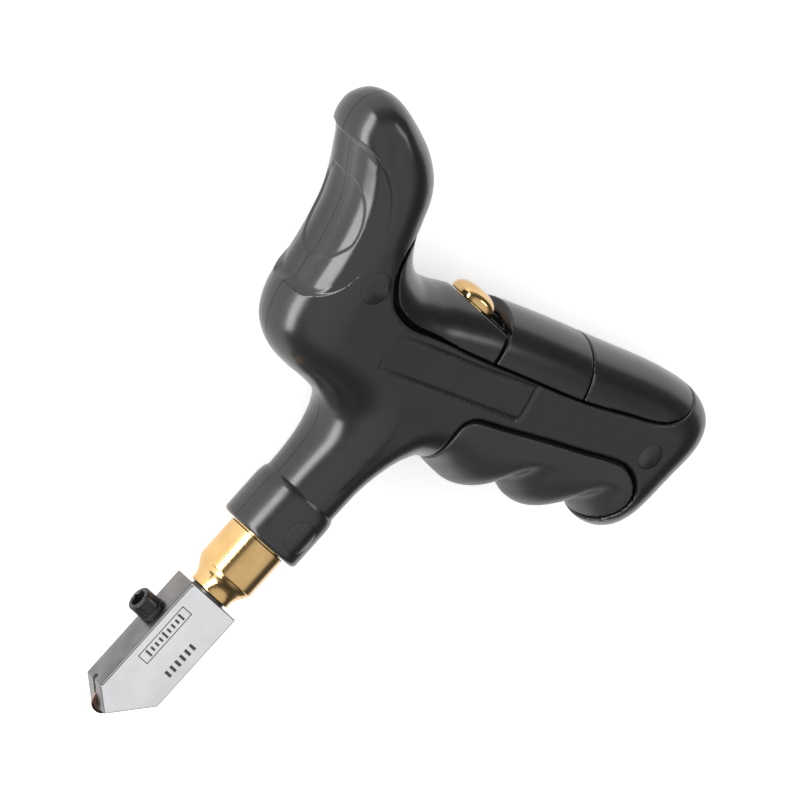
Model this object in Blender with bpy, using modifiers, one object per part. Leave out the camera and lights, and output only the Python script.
"""Glass cutter with a pistol grip, lying on its flat side.

+Y runs along the neck, away from the cutting wheel. +X points at the end of the grip. +Z is up.
The origin is on the neck's axis, on the flat side that the tool lies on. Lengths are in mm here, and the
objects are in metres.
"""
import math

import bmesh
import bpy
import numpy as np
from mathutils import Matrix, Vector

MM = 0.001
NAME = "glass_cutter"

# Driving dimensions, in mm
HALF_THICKNESS = 13.0  # the handle's half thickness, so its mid-plane is this high
GAP = 0.3  # between touching pieces
WALL = 2.4  # shell wall
PAD_DEPTH = 3.2  # palm pads and finger grip, measured inwards
GROOVE = 0.5  # seam between a pad and the shell
HEAD_TURN = math.radians(-17.5)  # the head swivels, and rests turned by this about the neck's axis

COLLAR_RADIUS = 10.85
COLLAR_TOP, COLLAR_END = -38.7, -53.3
NECK_BOTTOM = -43.0  # the neck ends inside the collar
NECK_SOLID_BELOW = -16.0  # the shells are solid round the tube and the ferrule from here down

POCKET_FLOOR = 21.0
POCKET_RIGHT = 7.7
FRONT_PAD_END = 6.6
PAD_SEAM_TOP, PAD_SEAM_FOOT = (34.4, 34.6), (38.5, 15.5)
POCKET_SLOT = ((7.0, 21.0, -9.4), (9.4, 22.5, 9.4))  # a slot along the foot of the pocket's right wall

TUBE_RADIUS, TUBE_BORE = 4.6, 3.5
TUBE_TOP, TUBE_FOOT = 22.6, -41.9
BUSH_RADIUS = 5.9
CAP_RADIUS, CAP_TOP, CAP_ROUND = 6.1, 25.3, 3.2

SPIGOT_RADIUS, SPIGOT_TOP = 7.0, -34.0
FERRULE_RADIUS, FERRULE_FOOT = 7.8, -70.4
FERRULE_NOSE_RADIUS = 5.2
VALVE_BORE = 3.3
VALVE_FLOOR = -60.0
SHANK_RADIUS, SHANK_FOOT = 2.4, -85.5
SEAT_TOP, SEAT_FOOT = -42.6, -44.9

HEAD_WIDTH, HEAD_THICKNESS = 15.2, 9.5
HEAD_TOP = -71.3
HEAD_LEFT_SHOULDER, HEAD_RIGHT_SHOULDER = -103.5, -98.5
HEAD_TIP = (-1.6, -108.1)
WHEEL_CENTRE, WHEEL_RADIUS = (-1.6, -106.0), 3.1
WHEEL_THICKNESS, WHEEL_SLOT = 1.0, 1.6
LOCK_SCREW_Y, LOCK_SCREW_RADIUS, LOCK_SCREW_END = -82.5, 3.2, -13.1

HORN_SCREW, GRIP_SCREW, COLLAR_SCREW = (-38.9, 8.7), (66.2, 22.7), (0.0, -46.7)
HORN_PLUG_RADIUS, GRIP_PLUG_RADIUS, COLLAR_PLUG_RADIUS = 3.9, 3.1, 4.0

# The handle's outline with the line inside it where the rounded edge starts, counterclockwise from the foot of
# the neck: outline x, y, inner line x, y, half thickness on the inner line
RIM = [
    (0.0, -43.0, 0.0, -42.6, 9.9),
    (9.8, -43.0, 0.4, -42.6, 9.9),
    (9.95, -36.0, 0.4, -36.0, 9.95),
    (10.0, -30.0, 0.4, -30.0, 10.1),
    (10.4, -25.0, 0.5, -24.5, 10.9),
    (11.1, -21.0, 0.9, -19.0, 11.9),
    (12.6, -17.8, 2.0, -13.5, 12.7),
    (15.2, -15.2, 6.0, -7.0, 13.0),
    (20.0, -13.7, 16.0, -2.4, 13.0),
    (26.0, -13.9, 25.0, -0.6, 13.0),
    (31.5, -13.8, 30.5, 0.6, 13.0),
    (36.0, -11.8, 34.5, 1.9, 13.0),
    (39.2, -8.0, 38.0, 3.2, 13.0),
    (42.6, -5.2, 41.5, 4.6, 13.0),
    (46.5, -6.0, 45.0, 5.9, 13.0),
    (50.5, -7.0, 48.5, 7.2, 13.0),
    (54.5, -6.4, 52.5, 8.5, 13.0),
    (58.5, -3.6, 56.3, 9.8, 13.0),
    (61.3, -0.2, 59.5, 10.9, 13.0),
    (64.5, 2.2, 63.0, 12.1, 13.0),
    (68.5, 1.4, 66.0, 13.0, 13.0),
    (73.5, 0.4, 68.6, 13.8, 13.0),
    (78.2, 1.9, 70.0, 14.9, 13.0),
    (81.3, 5.8, 70.6, 16.3, 13.0),
    (82.6, 11.5, 70.8, 18.0, 13.0),
    (82.9, 18.0, 70.9, 20.5, 13.0),
    (83.2, 24.0, 71.0, 23.6, 13.0),
    (83.6, 30.0, 71.0, 26.4, 13.0),
    (82.9, 35.0, 70.8, 27.8, 13.0),
    (80.6, 38.9, 70.2, 28.6, 13.0),
    (77.0, 40.9, 69.0, 28.8, 13.0),
    (72.0, 41.5, 67.2, 28.5, 13.0),
    (65.5, 40.8, 63.5, 27.8, 13.0),
    (56.8, 39.1, 59.2, 26.3, 13.0),
    (40.0, 34.9, 43.1, 22.3, 13.0),
    (22.0, 30.5, 25.1, 17.9, 13.0),
    (6.0, 26.0, 9.6, 13.5, 13.0),
    (-7.0, 21.4, -2.2, 9.3, 13.0),
    (-14.2, 18.7, -11.0, 6.4, 13.0),
    (-21.0, 17.7, -21.5, 5.0, 13.0),
    (-27.8, 19.9, -32.6, 8.0, 13.0),
    (-32.5, 24.3, -42.0, 15.8, 13.0),
    (-35.1, 28.9, -45.8, 21.8, 13.0),
    (-37.7, 33.8, -48.4, 26.7, 13.0),
    (-41.1, 37.5, -50.0, 29.2, 13.0),
    (-45.1, 40.1, -51.8, 30.9, 13.0),
    (-50.0, 42.2, -54.2, 32.4, 12.8),
    (-55.9, 43.8, -57.6, 33.9, 12.2),
    (-61.4, 44.8, -60.0, 35.1, 11.4),
    (-65.4, 44.6, -61.4, 35.7, 10.8),
    (-68.7, 43.1, -62.2, 35.9, 10.5),
    (-71.2, 39.6, -62.6, 35.5, 10.4),
    (-71.4, 36.0, -62.3, 34.9, 10.5),
    (-70.0, 31.8, -61.2, 33.9, 10.8),
    (-65.9, 27.2, -58.4, 32.2, 11.4),
    (-62.0, 22.9, -54.8, 30.4, 12.2),
    (-58.7, 18.7, -50.6, 27.6, 12.8),
    (-56.3, 14.5, -46.0, 22.0, 13.0),
    (-54.6, 10.1, -43.0, 15.0, 13.0),
    (-53.2, 5.5, -40.9, 9.0, 13.0),
    (-52.1, 0.6, -39.4, 3.8, 13.0),
    (-50.8, -4.5, -38.0, -0.4, 13.0),
    (-48.9, -9.8, -36.7, -3.2, 13.0),
    (-45.8, -14.2, -35.2, -4.6, 13.0),
    (-42.1, -16.7, -33.6, -5.3, 13.0),
    (-37.6, -18.1, -31.5, -5.7, 13.0),
    (-32.0, -18.5, -28.5, -5.8, 13.0),
    (-25.7, -18.3, -23.0, -5.8, 13.0),
    (-19.0, -18.6, -14.0, -5.8, 13.0),
    (-15.2, -20.0, -6.0, -8.0, 13.0),
    (-12.8, -22.4, -2.0, -14.0, 12.6),
    (-11.3, -25.4, -0.9, -20.0, 11.8),
    (-10.5, -29.0, -0.5, -25.5, 10.8),
    (-10.05, -35.0, -0.4, -33.0, 10.0),
    (-9.8, -43.0, -0.4, -42.6, 9.9),
]
# Rows whose half thickness changes: the inner line is closed there rung by rung, so that the side stays flat
HORN_RUNGS = (45, 57)
NECK_RUNGS = (68, 75 + 8)

# Seams, as seen from +Z
PALM_SEAM = [
    (-33.2, 27.6), (-35.4, 24.6), (-36.6, 21.0), (-36.4, 17.6), (-34.9, 14.3), (-32.2, 11.5), (-28.6, 9.3),
    (-23.0, 8.5), (-17.7, 9.1), (-13.0, 10.1), (-0.6, 12.4), (18.1, 17.0), (36.8, 21.7), (52.3, 27.0),
    (58.6, 29.1), (63.0, 31.0), (66.4, 33.6), (68.8, 36.4), (70.5, 39.4), (71.9, 43.0),
]  # fmt: skip
FINGER_SEAM = [
    (19.8, -15.5), (18.4, -13.0), (16.4, -10.6), (14.6, -7.5), (13.6, -4.4), (13.6, -1.6), (15.2, 0.6),
    (18.4, 2.0), (24.3, 3.9), (36.8, 8.3), (49.2, 12.4), (55.4, 14.6), (61.0, 16.2), (65.0, 16.2),
    (68.5, 14.9), (70.9, 12.5), (71.9, 9.4), (71.6, 6.0), (71.0, 3.0), (70.2, -1.5),
]  # fmt: skip


def smooth_line(points, steps):
    """Points along a Catmull-Rom curve through the given points, with `steps` spans between two of them."""
    points = np.array(points, float)
    padded = np.vstack([2 * points[:1] - points[1:2], points, 2 * points[-1:] - points[-2:-1]])
    line = []
    for i in range(1, len(padded) - 2):
        before, start, end, after = padded[i - 1 : i + 3]
        for t in np.arange(steps) / steps:
            bend = 2 * before - 5 * start + 4 * end - after
            twist = 3 * start - before - 3 * end + after
            line.append(start + 0.5 * t * (end - before + t * (bend + t * twist)))
    line.append(padded[-2])
    return np.array(line)


def offset_line(line, distance):
    """The open line moved to its left by distance."""
    along = np.gradient(line, axis=0)
    along /= np.linalg.norm(along, axis=1)[:, None]
    return line + distance * np.column_stack([-along[:, 1], along[:, 0]])


def new_collection(name):
    collection = bpy.data.collections.new(name)
    bpy.context.scene.collection.children.link(collection)
    return collection


def link(name, mesh, collection):
    piece = bpy.data.objects.new(name, mesh)
    collection.objects.link(piece)
    return piece


def material(name, colour, roughness, metallic=0.0):
    """A Principled material, with colour as linear RGB."""
    made = bpy.data.materials.new(name)
    made.use_nodes = True
    shader = made.node_tree.nodes["Principled BSDF"]
    shader.inputs["Base Color"].default_value = (*colour, 1.0)
    shader.inputs["Roughness"].default_value = roughness
    shader.inputs["Metallic"].default_value = metallic
    return made


def settle(piece):
    """Makes the object's shape its own mesh, so that it can be cut and can cut: modifiers and curves end here."""
    bpy.context.view_layer.update()
    graph = bpy.context.evaluated_depsgraph_get()
    mesh = bpy.data.meshes.new_from_object(piece.evaluated_get(graph))
    shape = bmesh.new()
    shape.from_mesh(mesh)
    bmesh.ops.remove_doubles(shape, verts=shape.verts, dist=1e-6)
    shape.to_mesh(mesh)
    shape.free()
    settled = bpy.data.objects.new(piece.name, mesh)
    settled.matrix_world = piece.matrix_world
    for collection in piece.users_collection:
        collection.objects.link(settled)
    name = piece.name
    bpy.data.objects.remove(piece)
    settled.name = name
    return settled


def combine(piece, other, operation):
    modifier = piece.modifiers.new(operation.title(), "BOOLEAN")
    modifier.operation = operation
    modifier.object = other
    modifier.solver = "EXACT"
    other.hide_render = True
    other.display_type = "WIRE"
    return piece


def cut(piece, *cutters):
    for cutter in cutters:
        combine(piece, cutter, "DIFFERENCE")
    return piece


def pillow(name, inset, collection):
    """The handle's body with fully rounded edges, made smaller all round by inset."""
    rows = np.array(RIM)
    rim, inner, half = rows[:, :2], rows[:, 2:4], rows[:, 4] - inset
    reach = np.linalg.norm(rim - inner, axis=1)
    shrink = np.maximum(reach - inset, 0.1 * reach) / reach
    rings = []
    for turn in np.radians([0, 22.5, 45, 67.5, 90]):
        flat = inner + (rim - inner) * (shrink * math.cos(turn))[:, None]
        rings.append(np.column_stack([flat, half * math.sin(turn)]))
    shape = bmesh.new()
    loops = []
    for ring in rings[:0:-1]:
        loops.append([shape.verts.new((x * MM, y * MM, (HALF_THICKNESS + z) * MM)) for x, y, z in ring])
    for ring in rings:
        loops.append([shape.verts.new((x * MM, y * MM, (HALF_THICKNESS - z) * MM)) for x, y, z in ring])
    count = len(rows)
    for upper, lower in zip(loops, loops[1:]):
        for i in range(count):
            j = (i + 1) % count
            shape.faces.new((upper[i], lower[i], lower[j], upper[j]))
    for loop in (loops[0], loops[-1]):
        close_side(shape, loop)
    bmesh.ops.recalc_face_normals(shape, faces=shape.faces)
    mesh = bpy.data.meshes.new(name)
    shape.to_mesh(mesh)
    shape.free()
    return link(name, mesh, collection)


def close_side(shape, loop):
    """Closes the inner line: rungs across the horn and the neck, and one flat face between them."""
    count = len(loop)
    open_rows = set(range(count))
    for first, last in (HORN_RUNGS, NECK_RUNGS):
        low, high = first, last
        while high - low > 2:
            corners = [low, low + 1, high - 1, high]
            shape.faces.new([loop[i % count] for i in corners])
            open_rows -= {(low + 1) % count, (high - 1) % count}
            low, high = low + 1, high - 1
        if high - low == 2:
            shape.faces.new([loop[i % count] for i in (low, low + 1, high)])
            open_rows -= {(low + 1) % count}
    shape.faces.new([loop[i] for i in sorted(open_rows)])


def prism(name, points, low, high, collection):
    """A flat outline in x and y, extruded along Z from low to high above the tool's mid-plane."""
    curve = bpy.data.curves.new(name, "CURVE")
    curve.dimensions = "2D"
    curve.fill_mode = "BOTH"
    curve.extrude = (high - low) / 2 * MM
    spline = curve.splines.new("POLY")
    spline.points.add(len(points) - 1)
    for point, (x, y) in zip(spline.points, points):
        point.co = (x * MM, y * MM, 0, 1)
    spline.use_cyclic_u = True
    piece = link(name, curve, collection)
    piece.location.z = (HALF_THICKNESS + (low + high) / 2) * MM
    return settle(piece)


def box(name, low, high, collection):
    """A box between two corners, whose z is measured from the tool's mid-plane."""
    shape = bmesh.new()
    size = [(b - a) * MM for a, b in zip(low, high)]
    centre = [(a + b) / 2 * MM for a, b in zip(low, high)]
    bmesh.ops.create_cube(shape, size=1.0, matrix=Matrix.Diagonal((*size, 1.0)))
    mesh = bpy.data.meshes.new(name)
    shape.to_mesh(mesh)
    shape.free()
    piece = link(name, mesh, collection)
    piece.location = (centre[0], centre[1], centre[2] + HALF_THICKNESS * MM)
    return piece


def rod(name, place, radius, low, high, collection, sides=28):
    """A cylinder along Z at the place (x, y), from low to high above the tool's mid-plane."""
    shape = bmesh.new()
    bmesh.ops.create_cone(
        shape, cap_ends=True, segments=sides, radius1=radius * MM, radius2=radius * MM, depth=(high - low) * MM
    )
    mesh = bpy.data.meshes.new(name)
    shape.to_mesh(mesh)
    shape.free()
    piece = link(name, mesh, collection)
    piece.location = (place[0] * MM, place[1] * MM, (HALF_THICKNESS + (low + high) / 2) * MM)
    return piece


def turned(name, profile, collection, sides=24):
    """A solid of revolution about the neck's axis. The profile's (radius, y) run down the outer side first."""
    mesh = bpy.data.meshes.new(name)
    closed = profile[0][0] > 0
    count = len(profile)
    edges = [(i, i + 1) for i in range(count - 1)] + ([(count - 1, 0)] if closed else [])
    mesh.from_pydata([(radius * MM, 0, y * MM) for radius, y in profile], edges, [])
    piece = link(name, mesh, collection)
    screw = piece.modifiers.new("Turn", "SCREW")
    screw.steps = screw.render_steps = sides
    screw.use_merge_vertices = True
    screw.merge_threshold = 1e-6
    piece.rotation_euler.x = -math.pi / 2
    piece.location.z = HALF_THICKNESS * MM
    return piece


def arc(centre, radius, start, end, steps):
    """Points (radius, y) on an arc of a turned profile, with angles in degrees from outwards towards +Y."""
    angles = np.radians(np.linspace(start, end, steps + 1))
    return [(centre[0] + radius * math.cos(a), centre[1] + radius * math.sin(a)) for a in angles]


def ring(outer, inner, low, high):
    """The profile of a plain ring."""
    return [(outer, high), (outer, low), (inner, low), (inner, high)]


def finish(piece, surface, collection):
    """Gives a piece its material and its shading, and puts it among the tool's parts."""
    piece.data.materials.clear()
    piece.data.materials.append(surface)
    piece.data.shade_smooth()
    piece.data.set_sharp_from_angle(angle=math.radians(30))
    for other in list(piece.users_collection):
        other.objects.unlink(piece)
    collection.objects.link(piece)
    return piece


def palm_region(name, grow, cutters):
    """The space of the palm pads: above the palm seam, grown downwards by grow."""
    seam = offset_line(smooth_line(PALM_SEAM, 2), -grow)
    outside = [(75.0, 50.0), (-10.0, 50.0), (-27.5, 31.0)]
    return prism(name, [*seam, *outside], -20, 20, cutters)


def finger_region(name, grow, cutters):
    """The space of the finger grip: below the finger seam, grown upwards by grow."""
    seam = offset_line(smooth_line(FINGER_SEAM, 2), grow)
    outside = [(70.0, -22.0), (20.0, -22.0)]
    return prism(name, [*seam, *outside], -20, 20, cutters)


def handle_solid(cutters):
    """The whole handle as one lump: body, neck and collar."""
    body = pillow("handle_body", 0.0, cutters)
    step = 0.5
    collar = turned(
        "collar",
        [(0, COLLAR_TOP), (COLLAR_RADIUS - step, COLLAR_TOP), (COLLAR_RADIUS, COLLAR_TOP - step),
         (COLLAR_RADIUS, COLLAR_END + 1), (COLLAR_RADIUS - 1, COLLAR_END), (0, COLLAR_END)],
        cutters, sides=48,
    )  # fmt: skip
    combine(body, collar, "UNION")
    return settle(body)


def cavity_solid(cutters):
    """The hollow inside the shells: one wall in from the outside, and two layers in under the pads."""
    hollow = pillow("hollow", WALL, cutters)
    cut(hollow, palm_region("palm_wall", GROOVE + WALL, cutters))
    cut(hollow, finger_region("finger_wall", GROOVE + WALL, cutters))
    hollow = settle(hollow)
    combine(hollow, pillow("deep_hollow", PAD_DEPTH + WALL, cutters), "UNION")
    hollow = settle(hollow)
    cut(hollow, box("neck_solid", (-20, -60, -20), (20, NECK_SOLID_BELOW, 20), cutters))
    pocket_wall = POCKET_FLOOR - PAD_DEPTH - WALL
    cut(hollow, box("pocket_wall", (-13, pocket_wall, -20), (POCKET_RIGHT + WALL, 40, 20), cutters))
    cut(hollow, rod("horn_post", HORN_SCREW, HORN_PLUG_RADIUS + 1.5, -20, 20, cutters))
    cut(hollow, rod("grip_post", GRIP_SCREW, GRIP_PLUG_RADIUS + 1.5, -20, 20, cutters))
    return settle(hollow)


def core_solid(name, inset, cutters):
    """What lies under the pads and the finger grip."""
    core = pillow(name, inset, cutters)
    floor = POCKET_FLOOR - inset
    right = POCKET_RIGHT + inset - (PAD_DEPTH - GAP)
    cut(core, box(name + "_pocket", (-12, floor, -20), (right, 40, 20), cutters))
    cut(core, box(name + "_neck", (-20, -60, -20), (20, NECK_SOLID_BELOW - 2, 20), cutters))
    return settle(core)


def screw_holes(place, plug_radius, head_radius, cutters):
    """A screw's way in from the upper side: plug seat, head seat and thread."""
    tag = f"hole_{int(place[0])}"
    return [
        rod(tag + "_plug", place, plug_radius + GAP, 10.7, 20, cutters),
        rod(tag + "_head", place, head_radius + GAP, 2.5, 11, cutters),
        rod(tag + "_thread", place, 1.75, -10, 3, cutters, sides=16),
    ]


def shells(solid, cutters, parts, surface):
    """The two halves of the handle, hollow, split at the mid-plane."""
    cut(solid, palm_region("palm_space", GROOVE, cutters), finger_region("finger_space", GROOVE, cutters))
    solid = settle(solid)
    combine(solid, core_solid("core", PAD_DEPTH, cutters), "UNION")
    solid = settle(solid)
    bores = [(0, POCKET_FLOOR), (BUSH_RADIUS + GAP, POCKET_FLOOR), (BUSH_RADIUS + GAP, 8), (TUBE_RADIUS + GAP, 8)]
    bores += [(TUBE_RADIUS + GAP, SPIGOT_TOP + GAP), (SPIGOT_RADIUS + GAP, SPIGOT_TOP + GAP)]
    bores += [(SPIGOT_RADIUS + GAP, COLLAR_END - 5), (0, COLLAR_END - 5)]
    spaces = [cavity_solid(cutters), turned("bores", bores, cutters)]
    spaces += screw_holes(HORN_SCREW, HORN_PLUG_RADIUS, 2.9, cutters)
    spaces += screw_holes(GRIP_SCREW, GRIP_PLUG_RADIUS, 2.5, cutters)
    spaces.append(box("shell_slot", *POCKET_SLOT, cutters))
    spaces.append(rod("collar_plug_seat", COLLAR_SCREW, COLLAR_PLUG_RADIUS + GAP, 9.1, 20, cutters))
    spaces.append(rod("set_screw_hole", COLLAR_SCREW, 2.3, 4, 12, cutters))
    for name, low, high in (("handle_shell_front", -20, GAP / 2), ("handle_shell_back", -GAP / 2, 20)):
        half = link(name, solid.data.copy(), cutters)
        cut(half, box(name + "_other_side", (-90, -80, low), (100, 60, high), cutters))
        for space in spaces:
            half = settle(cut(half, space))
        finish(half, surface, parts)
    bpy.data.objects.remove(solid)


def palm_pads(solid, cutters, parts, surface):
    """Three pads along the palm barrel, with the filler's pocket between the first two."""
    region = palm_region("palm_pads", 0.0, cutters)
    core = core_solid("pad_core", PAD_DEPTH - GAP, cutters)
    (top_x, top_y), (foot_x, foot_y) = PAD_SEAM_TOP, PAD_SEAM_FOOT
    lean = (foot_x - top_x) / (foot_y - top_y)
    above = top_x + lean * (60 - top_y)
    below = top_x + lean * (0 - top_y)
    spaces = {
        "palm_pad_front": [
            (FRONT_PAD_END, 0), (FRONT_PAD_END, POCKET_FLOOR), (-16, POCKET_FLOOR), (-16, 60), (-60, 60), (-60, 0),
        ],
        "palm_pad_middle": [(POCKET_RIGHT, 0), (below - GAP, 0), (above - GAP, 60), (POCKET_RIGHT, 60)],
        "palm_pad_rear": [(below + GAP, 0), (90, 0), (90, 60), (above + GAP, 60)],
    }  # fmt: skip
    hole = turned("pad_hole", [(0, 40), (TUBE_RADIUS + GAP, 40), (TUBE_RADIUS + GAP, 5), (0, 5)], cutters)
    slot = box("pad_slot", *POCKET_SLOT, cutters)
    for name, space in spaces.items():
        pad = link(name, solid.data.copy(), cutters)
        combine(pad, region, "INTERSECT")
        combine(pad, prism(name + "_space", space, -19, 19, cutters), "INTERSECT")
        cut(pad, core)
        if name == "palm_pad_front":
            cut(pad, hole)
        if name == "palm_pad_middle":
            cut(pad, slot)
        finish(settle(pad), surface, parts)


def finger_grip(solid, cutters, parts, surface):
    grip = link("finger_grip", solid.data.copy(), cutters)
    combine(grip, finger_region("finger_grip_space", 0.0, cutters), "INTERSECT")
    cut(grip, core_solid("grip_core", PAD_DEPTH - GAP, cutters))
    finish(settle(grip), surface, parts)


def plugs(solid, cutters, parts, surface):
    """Round plugs over the screws, cut flush with the handle."""
    for name, place, radius, low in (
        ("horn_screw_plug", HORN_SCREW, HORN_PLUG_RADIUS, 11.0),
        ("grip_screw_plug", GRIP_SCREW, GRIP_PLUG_RADIUS, 11.0),
        ("collar_plug", COLLAR_SCREW, COLLAR_PLUG_RADIUS, 9.4),
    ):
        plug = link(name, solid.data.copy(), cutters)
        combine(plug, rod(name + "_space", place, radius, low, 20, cutters), "INTERSECT")
        finish(settle(plug), surface, parts)


def handle_screws(cutters, parts, surface):
    """Pan head screws along Z, with a cross slot left as a plain socket, and the ferrule's set screw."""
    for name, place, head_radius in (("horn_screw", HORN_SCREW, 2.9), ("grip_screw", GRIP_SCREW, 2.5)):
        head = rod(name, place, head_radius, 2.8, 5.2, cutters)
        combine(head, rod(name + "_shank", place, 1.45, -9.5, 3.0, cutters, sides=16), "UNION")
        cut(head, rod(name + "_socket", place, 1.2, 3.8, 8, cutters, sides=6))
        finish(settle(head), surface, parts)
    set_screw = rod("ferrule_set_screw", COLLAR_SCREW, 2.0, SPIGOT_RADIUS + GAP, 9.1, cutters)
    cut(set_screw, rod("set_screw_socket", COLLAR_SCREW, 1.1, 8.1, 12, cutters, sides=6))
    finish(settle(set_screw), surface, parts)


def reservoir(cutters, parts, metals, rubber):
    """The oil tube, its bush in the shells, the filler cap and the cap's seal."""
    tube = turned("reservoir_tube", ring(TUBE_RADIUS, TUBE_BORE, TUBE_FOOT, TUBE_TOP), cutters)
    finish(tube, metals["brass"], parts)
    bush_foot = POCKET_FLOOR - PAD_DEPTH - WALL - 2.0
    bush = ring(BUSH_RADIUS, TUBE_RADIUS + GAP, bush_foot, POCKET_FLOOR - PAD_DEPTH)
    finish(turned("tube_bush", bush, cutters), rubber, parts)

    lift = joint_empty("cap_axis", (0, CAP_TOP, 0), cutters)
    seal_thickness = 0.5
    inside = TUBE_TOP + seal_thickness + 2 * GAP
    bore = TUBE_RADIUS + GAP
    crown = arc((CAP_RADIUS - CAP_ROUND, CAP_TOP - CAP_ROUND), CAP_ROUND, 90, 0, 6)
    skirt = [(CAP_RADIUS, POCKET_FLOOR + GAP), (bore, POCKET_FLOOR + GAP), (bore, inside), (0, inside)]
    cap = turned("filler_cap", [(0, CAP_TOP), *crown, *skirt], cutters, sides=32)
    attach(finish(cap, metals["brass"], parts), lift)
    seal_top, seal_radius = inside - GAP, bore - 0.4
    disc = [(0, seal_top), (seal_radius, seal_top), (seal_radius, TUBE_TOP + GAP), (0, TUBE_TOP + GAP)]
    seal = turned("filler_cap_seal", disc, cutters)
    attach(finish(seal, rubber, parts), lift)


def joint_empty(name, place, collection):
    empty = bpy.data.objects.new(name, None)
    empty.location = Vector(place) * MM + Vector((0, 0, HALF_THICKNESS * MM))
    collection.objects.link(empty)
    bpy.context.view_layer.update()
    return empty


def attach(piece, empty):
    """Parents a piece to the empty on its axis without moving it."""
    bpy.context.view_layer.update()
    placed = piece.matrix_world.copy()
    piece.parent = empty
    piece.matrix_parent_inverse = empty.matrix_world.inverted()
    piece.matrix_world = placed
    return piece


def ferrule_and_valve(cutters, parts, metals, rubber):
    """The brass ferrule in the neck, and the valve that lets oil down when the head is pressed."""
    pocket = TUBE_RADIUS + GAP
    seat_bore = 3.7
    outer = [(SPIGOT_RADIUS, SPIGOT_TOP), (SPIGOT_RADIUS, COLLAR_END - GAP)]
    outer += [(FERRULE_RADIUS - 0.3, COLLAR_END - GAP), (FERRULE_RADIUS, COLLAR_END - 2 * GAP)]
    outer += [(FERRULE_RADIUS, -64.9), (7.5, -65.6), (6.9, -66.6), (6.2, -67.5), (5.5, -68.2)]
    outer += [(FERRULE_NOSE_RADIUS, -68.9), (FERRULE_NOSE_RADIUS, FERRULE_FOOT)]
    bore = SHANK_RADIUS + GAP
    inner = [(bore, FERRULE_FOOT), (bore, -66.4), (4.15, -66.4), (4.15, -64.6), (bore, -64.6)]
    inner += [(bore, VALVE_FLOOR), (VALVE_BORE, VALVE_FLOOR), (VALVE_BORE, SEAT_FOOT - GAP)]
    inner += [(seat_bore, SEAT_FOOT - GAP), (seat_bore, SEAT_TOP + GAP), (pocket, SEAT_TOP + GAP)]
    inner += [(pocket, SPIGOT_TOP)]
    finish(turned("brass_ferrule", [*outer, *inner], cutters, sides=28), metals["brass"], parts)
    seat = ring(seat_bore - GAP, 1.7, SEAT_FOOT, SEAT_TOP)
    finish(turned("valve_seat", seat, cutters), metals["steel"], parts)
    seal = arc((3.28, -65.5), 0.56, 180, -180, 8)[:-1]
    finish(turned("shank_seal", seal, cutters), rubber, parts)

    flange_foot, flange_top = VALVE_FLOOR + GAP, VALVE_FLOOR + 2.5
    press = joint_empty("press_axis", (0, flange_top, 0), cutters)
    shank = [(0, flange_top), (VALVE_BORE - GAP, flange_top), (VALVE_BORE - GAP, flange_foot)]
    shank += [(SHANK_RADIUS, flange_foot), (SHANK_RADIUS, SHANK_FOOT + 0.5), (SHANK_RADIUS - 0.5, SHANK_FOOT)]
    shank += [(0, SHANK_FOOT)]
    attach(finish(turned("head_shank", shank, cutters), metals["steel"], parts), press)
    top = SEAT_TOP + 2.1
    plunger = [(0, top), (1.6, top), (2.6, top - 1.0), (2.6, SEAT_TOP + 0.7), (1.1, SEAT_TOP + GAP)]
    plunger += [(1.1, flange_top + GAP), (0, flange_top + GAP)]
    attach(finish(turned("valve_plunger", plunger, cutters), metals["steel"], parts), press)
    spring = coil("valve_spring", 2.6, 0.3, flange_top + 0.6, SEAT_FOOT - 0.6, 5, cutters)
    finish(spring, metals["steel"], parts)


def coil(name, radius, wire, low, high, turns, collection):
    """A round wire spring about the neck's axis."""
    curve = bpy.data.curves.new(name, "CURVE")
    curve.dimensions = "3D"
    curve.bevel_depth = wire * MM
    curve.bevel_resolution = 1
    curve.use_fill_caps = True
    spline = curve.splines.new("POLY")
    steps = 10 * turns
    spline.points.add(steps)
    for i, point in enumerate(spline.points):
        angle = math.tau * i / 10
        y = low + (high - low) * i / steps
        point.co = (radius * math.cos(angle) * MM, y * MM, radius * math.sin(angle) * MM, 1)
    piece = link(name, curve, collection)
    piece.location.z = HALF_THICKNESS * MM
    return settle(piece)


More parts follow.
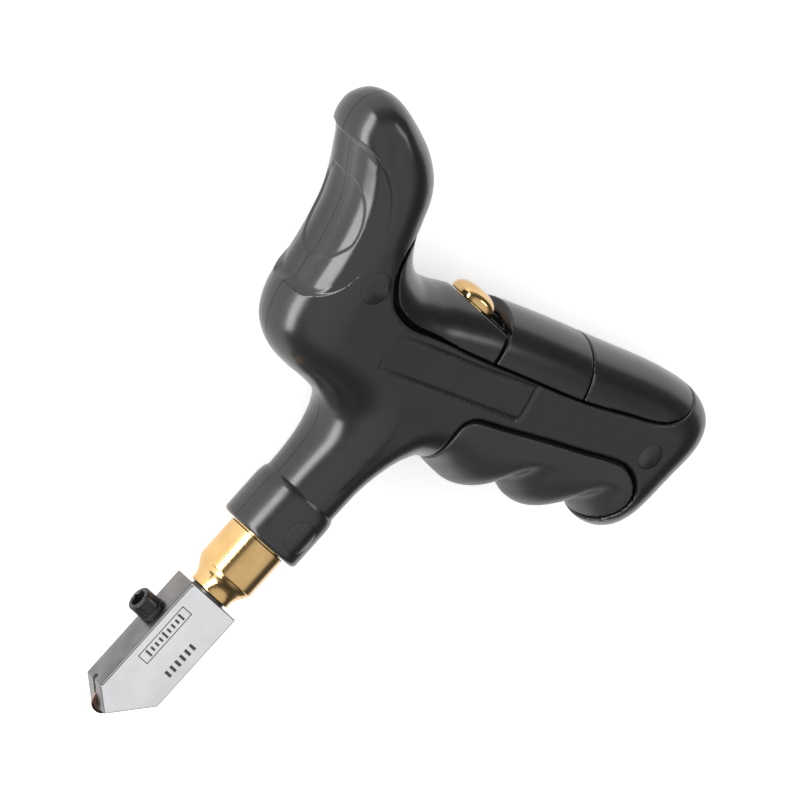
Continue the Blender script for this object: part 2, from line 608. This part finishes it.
def head(cutters, parts, metals):
    """The cutter head on its shank, with the lock screw in its side and the wheel at its tip."""
    swivel = joint_empty("swivel_axis", (0, HEAD_TOP, 0), cutters)
    right = HEAD_WIDTH / 2
    front = HEAD_THICKNESS / 2
    outline = [(-right, HEAD_TOP), (-right, HEAD_LEFT_SHOULDER), HEAD_TIP]
    outline += [(right, HEAD_RIGHT_SHOULDER), (right, HEAD_TOP)]
    block = prism("cutter_head", outline, -front, front, cutters)
    bevel = block.modifiers.new("Edges", "BEVEL")
    bevel.width = 0.25 * MM
    bevel.segments = 1
    block = settle(block)
    bore = SHANK_RADIUS + GAP
    cut(block, turned("shank_hole", [(0, -60), (bore, -60), (bore, SHANK_FOOT - GAP), (0, SHANK_FOOT - GAP)], cutters))
    slot = WHEEL_SLOT / 2
    reach = WHEEL_RADIUS + 0.7
    slot_low = (-right - 1, -112, -slot)
    cut(block, box("wheel_slot", slot_low, (WHEEL_CENTRE[0] + reach, WHEEL_CENTRE[1] + reach, slot), cutters))
    axle_end = front - 1.3
    cut(block, rod("axle_hole", WHEEL_CENTRE, 1.05, -front - 1, axle_end + GAP, cutters, sides=20))
    thread = across("lock_thread", 2.0, -right - 1, -SHANK_RADIUS + 0.5, cutters, 20)
    cut(block, thread)
    pieces = [finish(settle(block), metals["zinc"], parts)]

    axle = rod("wheel_axle", WHEEL_CENTRE, 0.75, -front + GAP, axle_end, cutters, sides=20)
    pieces.append(finish(axle, metals["steel"], parts))
    washer = across("lock_screw_washer", 3.7, -right - 1.1, -right - GAP, cutters, 32)
    cut(washer, across("washer_hole", 2.0, -right - 3, -right + 3, cutters, 24))
    pieces.append(finish(settle(washer), metals["black"], parts))
    screw_low = -right - 1.1 - GAP
    screw = across("lock_screw", LOCK_SCREW_RADIUS, LOCK_SCREW_END, screw_low, cutters, 40)
    bevel = screw.modifiers.new("Edges", "BEVEL")
    bevel.width = 0.4 * MM
    bevel.segments = 1
    bevel.limit_method = "ANGLE"
    bevel.angle_limit = math.radians(60)
    screw = settle(screw)
    combine(screw, across("lock_shank", 1.7, screw_low - 1, -bore - GAP, cutters, 20), "UNION")
    cut(screw, across("lock_socket", 2.05, LOCK_SCREW_END - 1, LOCK_SCREW_END + 2.4, cutters, 6))
    pieces.append(finish(settle(screw), metals["black"], parts))
    for piece in pieces:
        attach(piece, swivel)

    wheel_axis = joint_empty("wheel_axis", (*WHEEL_CENTRE, 0), cutters)
    attach(wheel_axis, swivel)
    attach(finish(wheel(cutters), metals["carbide"], parts), wheel_axis)
    swivel.rotation_euler.y = HEAD_TURN


def across(name, radius, low, high, collection, sides):
    """A cylinder along X at the lock screw's height, from low to high."""
    shape = bmesh.new()
    bmesh.ops.create_cone(
        shape, cap_ends=True, segments=sides, radius1=radius * MM, radius2=radius * MM, depth=(high - low) * MM
    )
    mesh = bpy.data.meshes.new(name)
    shape.to_mesh(mesh)
    shape.free()
    piece = link(name, mesh, collection)
    piece.rotation_euler.y = math.pi / 2
    piece.location = ((low + high) / 2 * MM, LOCK_SCREW_Y * MM, HALF_THICKNESS * MM)
    return piece


def wheel(collection):
    """The cutting wheel: a disc with a sharp double-sided edge, turned about its own bore."""
    half = WHEEL_THICKNESS / 2
    hole = 1.05
    mesh = bpy.data.meshes.new("cutting_wheel")
    profile = [(WHEEL_RADIUS - 0.6, half), (WHEEL_RADIUS, 0), (WHEEL_RADIUS - 0.6, -half), (hole, -half), (hole, half)]
    count = len(profile)
    edges = [(i, (i + 1) % count) for i in range(count)]
    mesh.from_pydata([(radius * MM, 0, z * MM) for radius, z in profile], edges, [])
    piece = link("cutting_wheel", mesh, collection)
    screw = piece.modifiers.new("Turn", "SCREW")
    screw.steps = screw.render_steps = 32
    screw.use_merge_vertices = True
    screw.merge_threshold = 1e-6
    piece.location = (WHEEL_CENTRE[0] * MM, WHEEL_CENTRE[1] * MM, HALF_THICKNESS * MM)
    return piece


def main():
    for piece in list(bpy.data.objects):
        bpy.data.objects.remove(piece)
    parts = new_collection(NAME)
    cutters = new_collection(NAME + "_cutters")
    plastic = material("handle_plastic", (0.030, 0.030, 0.032), 0.38)
    pad = material("pad_plastic", (0.026, 0.026, 0.028), 0.34)
    rubber = material("seal_rubber", (0.02, 0.02, 0.02), 0.7)
    metals = {
        "brass": material("brass", (0.72, 0.50, 0.22), 0.25, 1.0),
        "steel": material("plain_steel", (0.5, 0.5, 0.5), 0.35, 1.0),
        "zinc": material("bright_head_metal", (0.7, 0.7, 0.72), 0.3, 1.0),
        "black": material("black_oxide_steel", (0.03, 0.03, 0.032), 0.4, 0.6),
        "carbide": material("wheel_carbide", (0.10, 0.07, 0.06), 0.3, 1.0),
    }
    solid = handle_solid(cutters)
    palm_pads(solid, cutters, parts, pad)
    finger_grip(solid, cutters, parts, pad)
    plugs(solid, cutters, parts, plastic)
    shells(solid, cutters, parts, plastic)
    handle_screws(cutters, parts, metals["steel"])
    reservoir(cutters, parts, metals, rubber)
    ferrule_and_valve(cutters, parts, metals, rubber)
    head(cutters, parts, metals)


main()
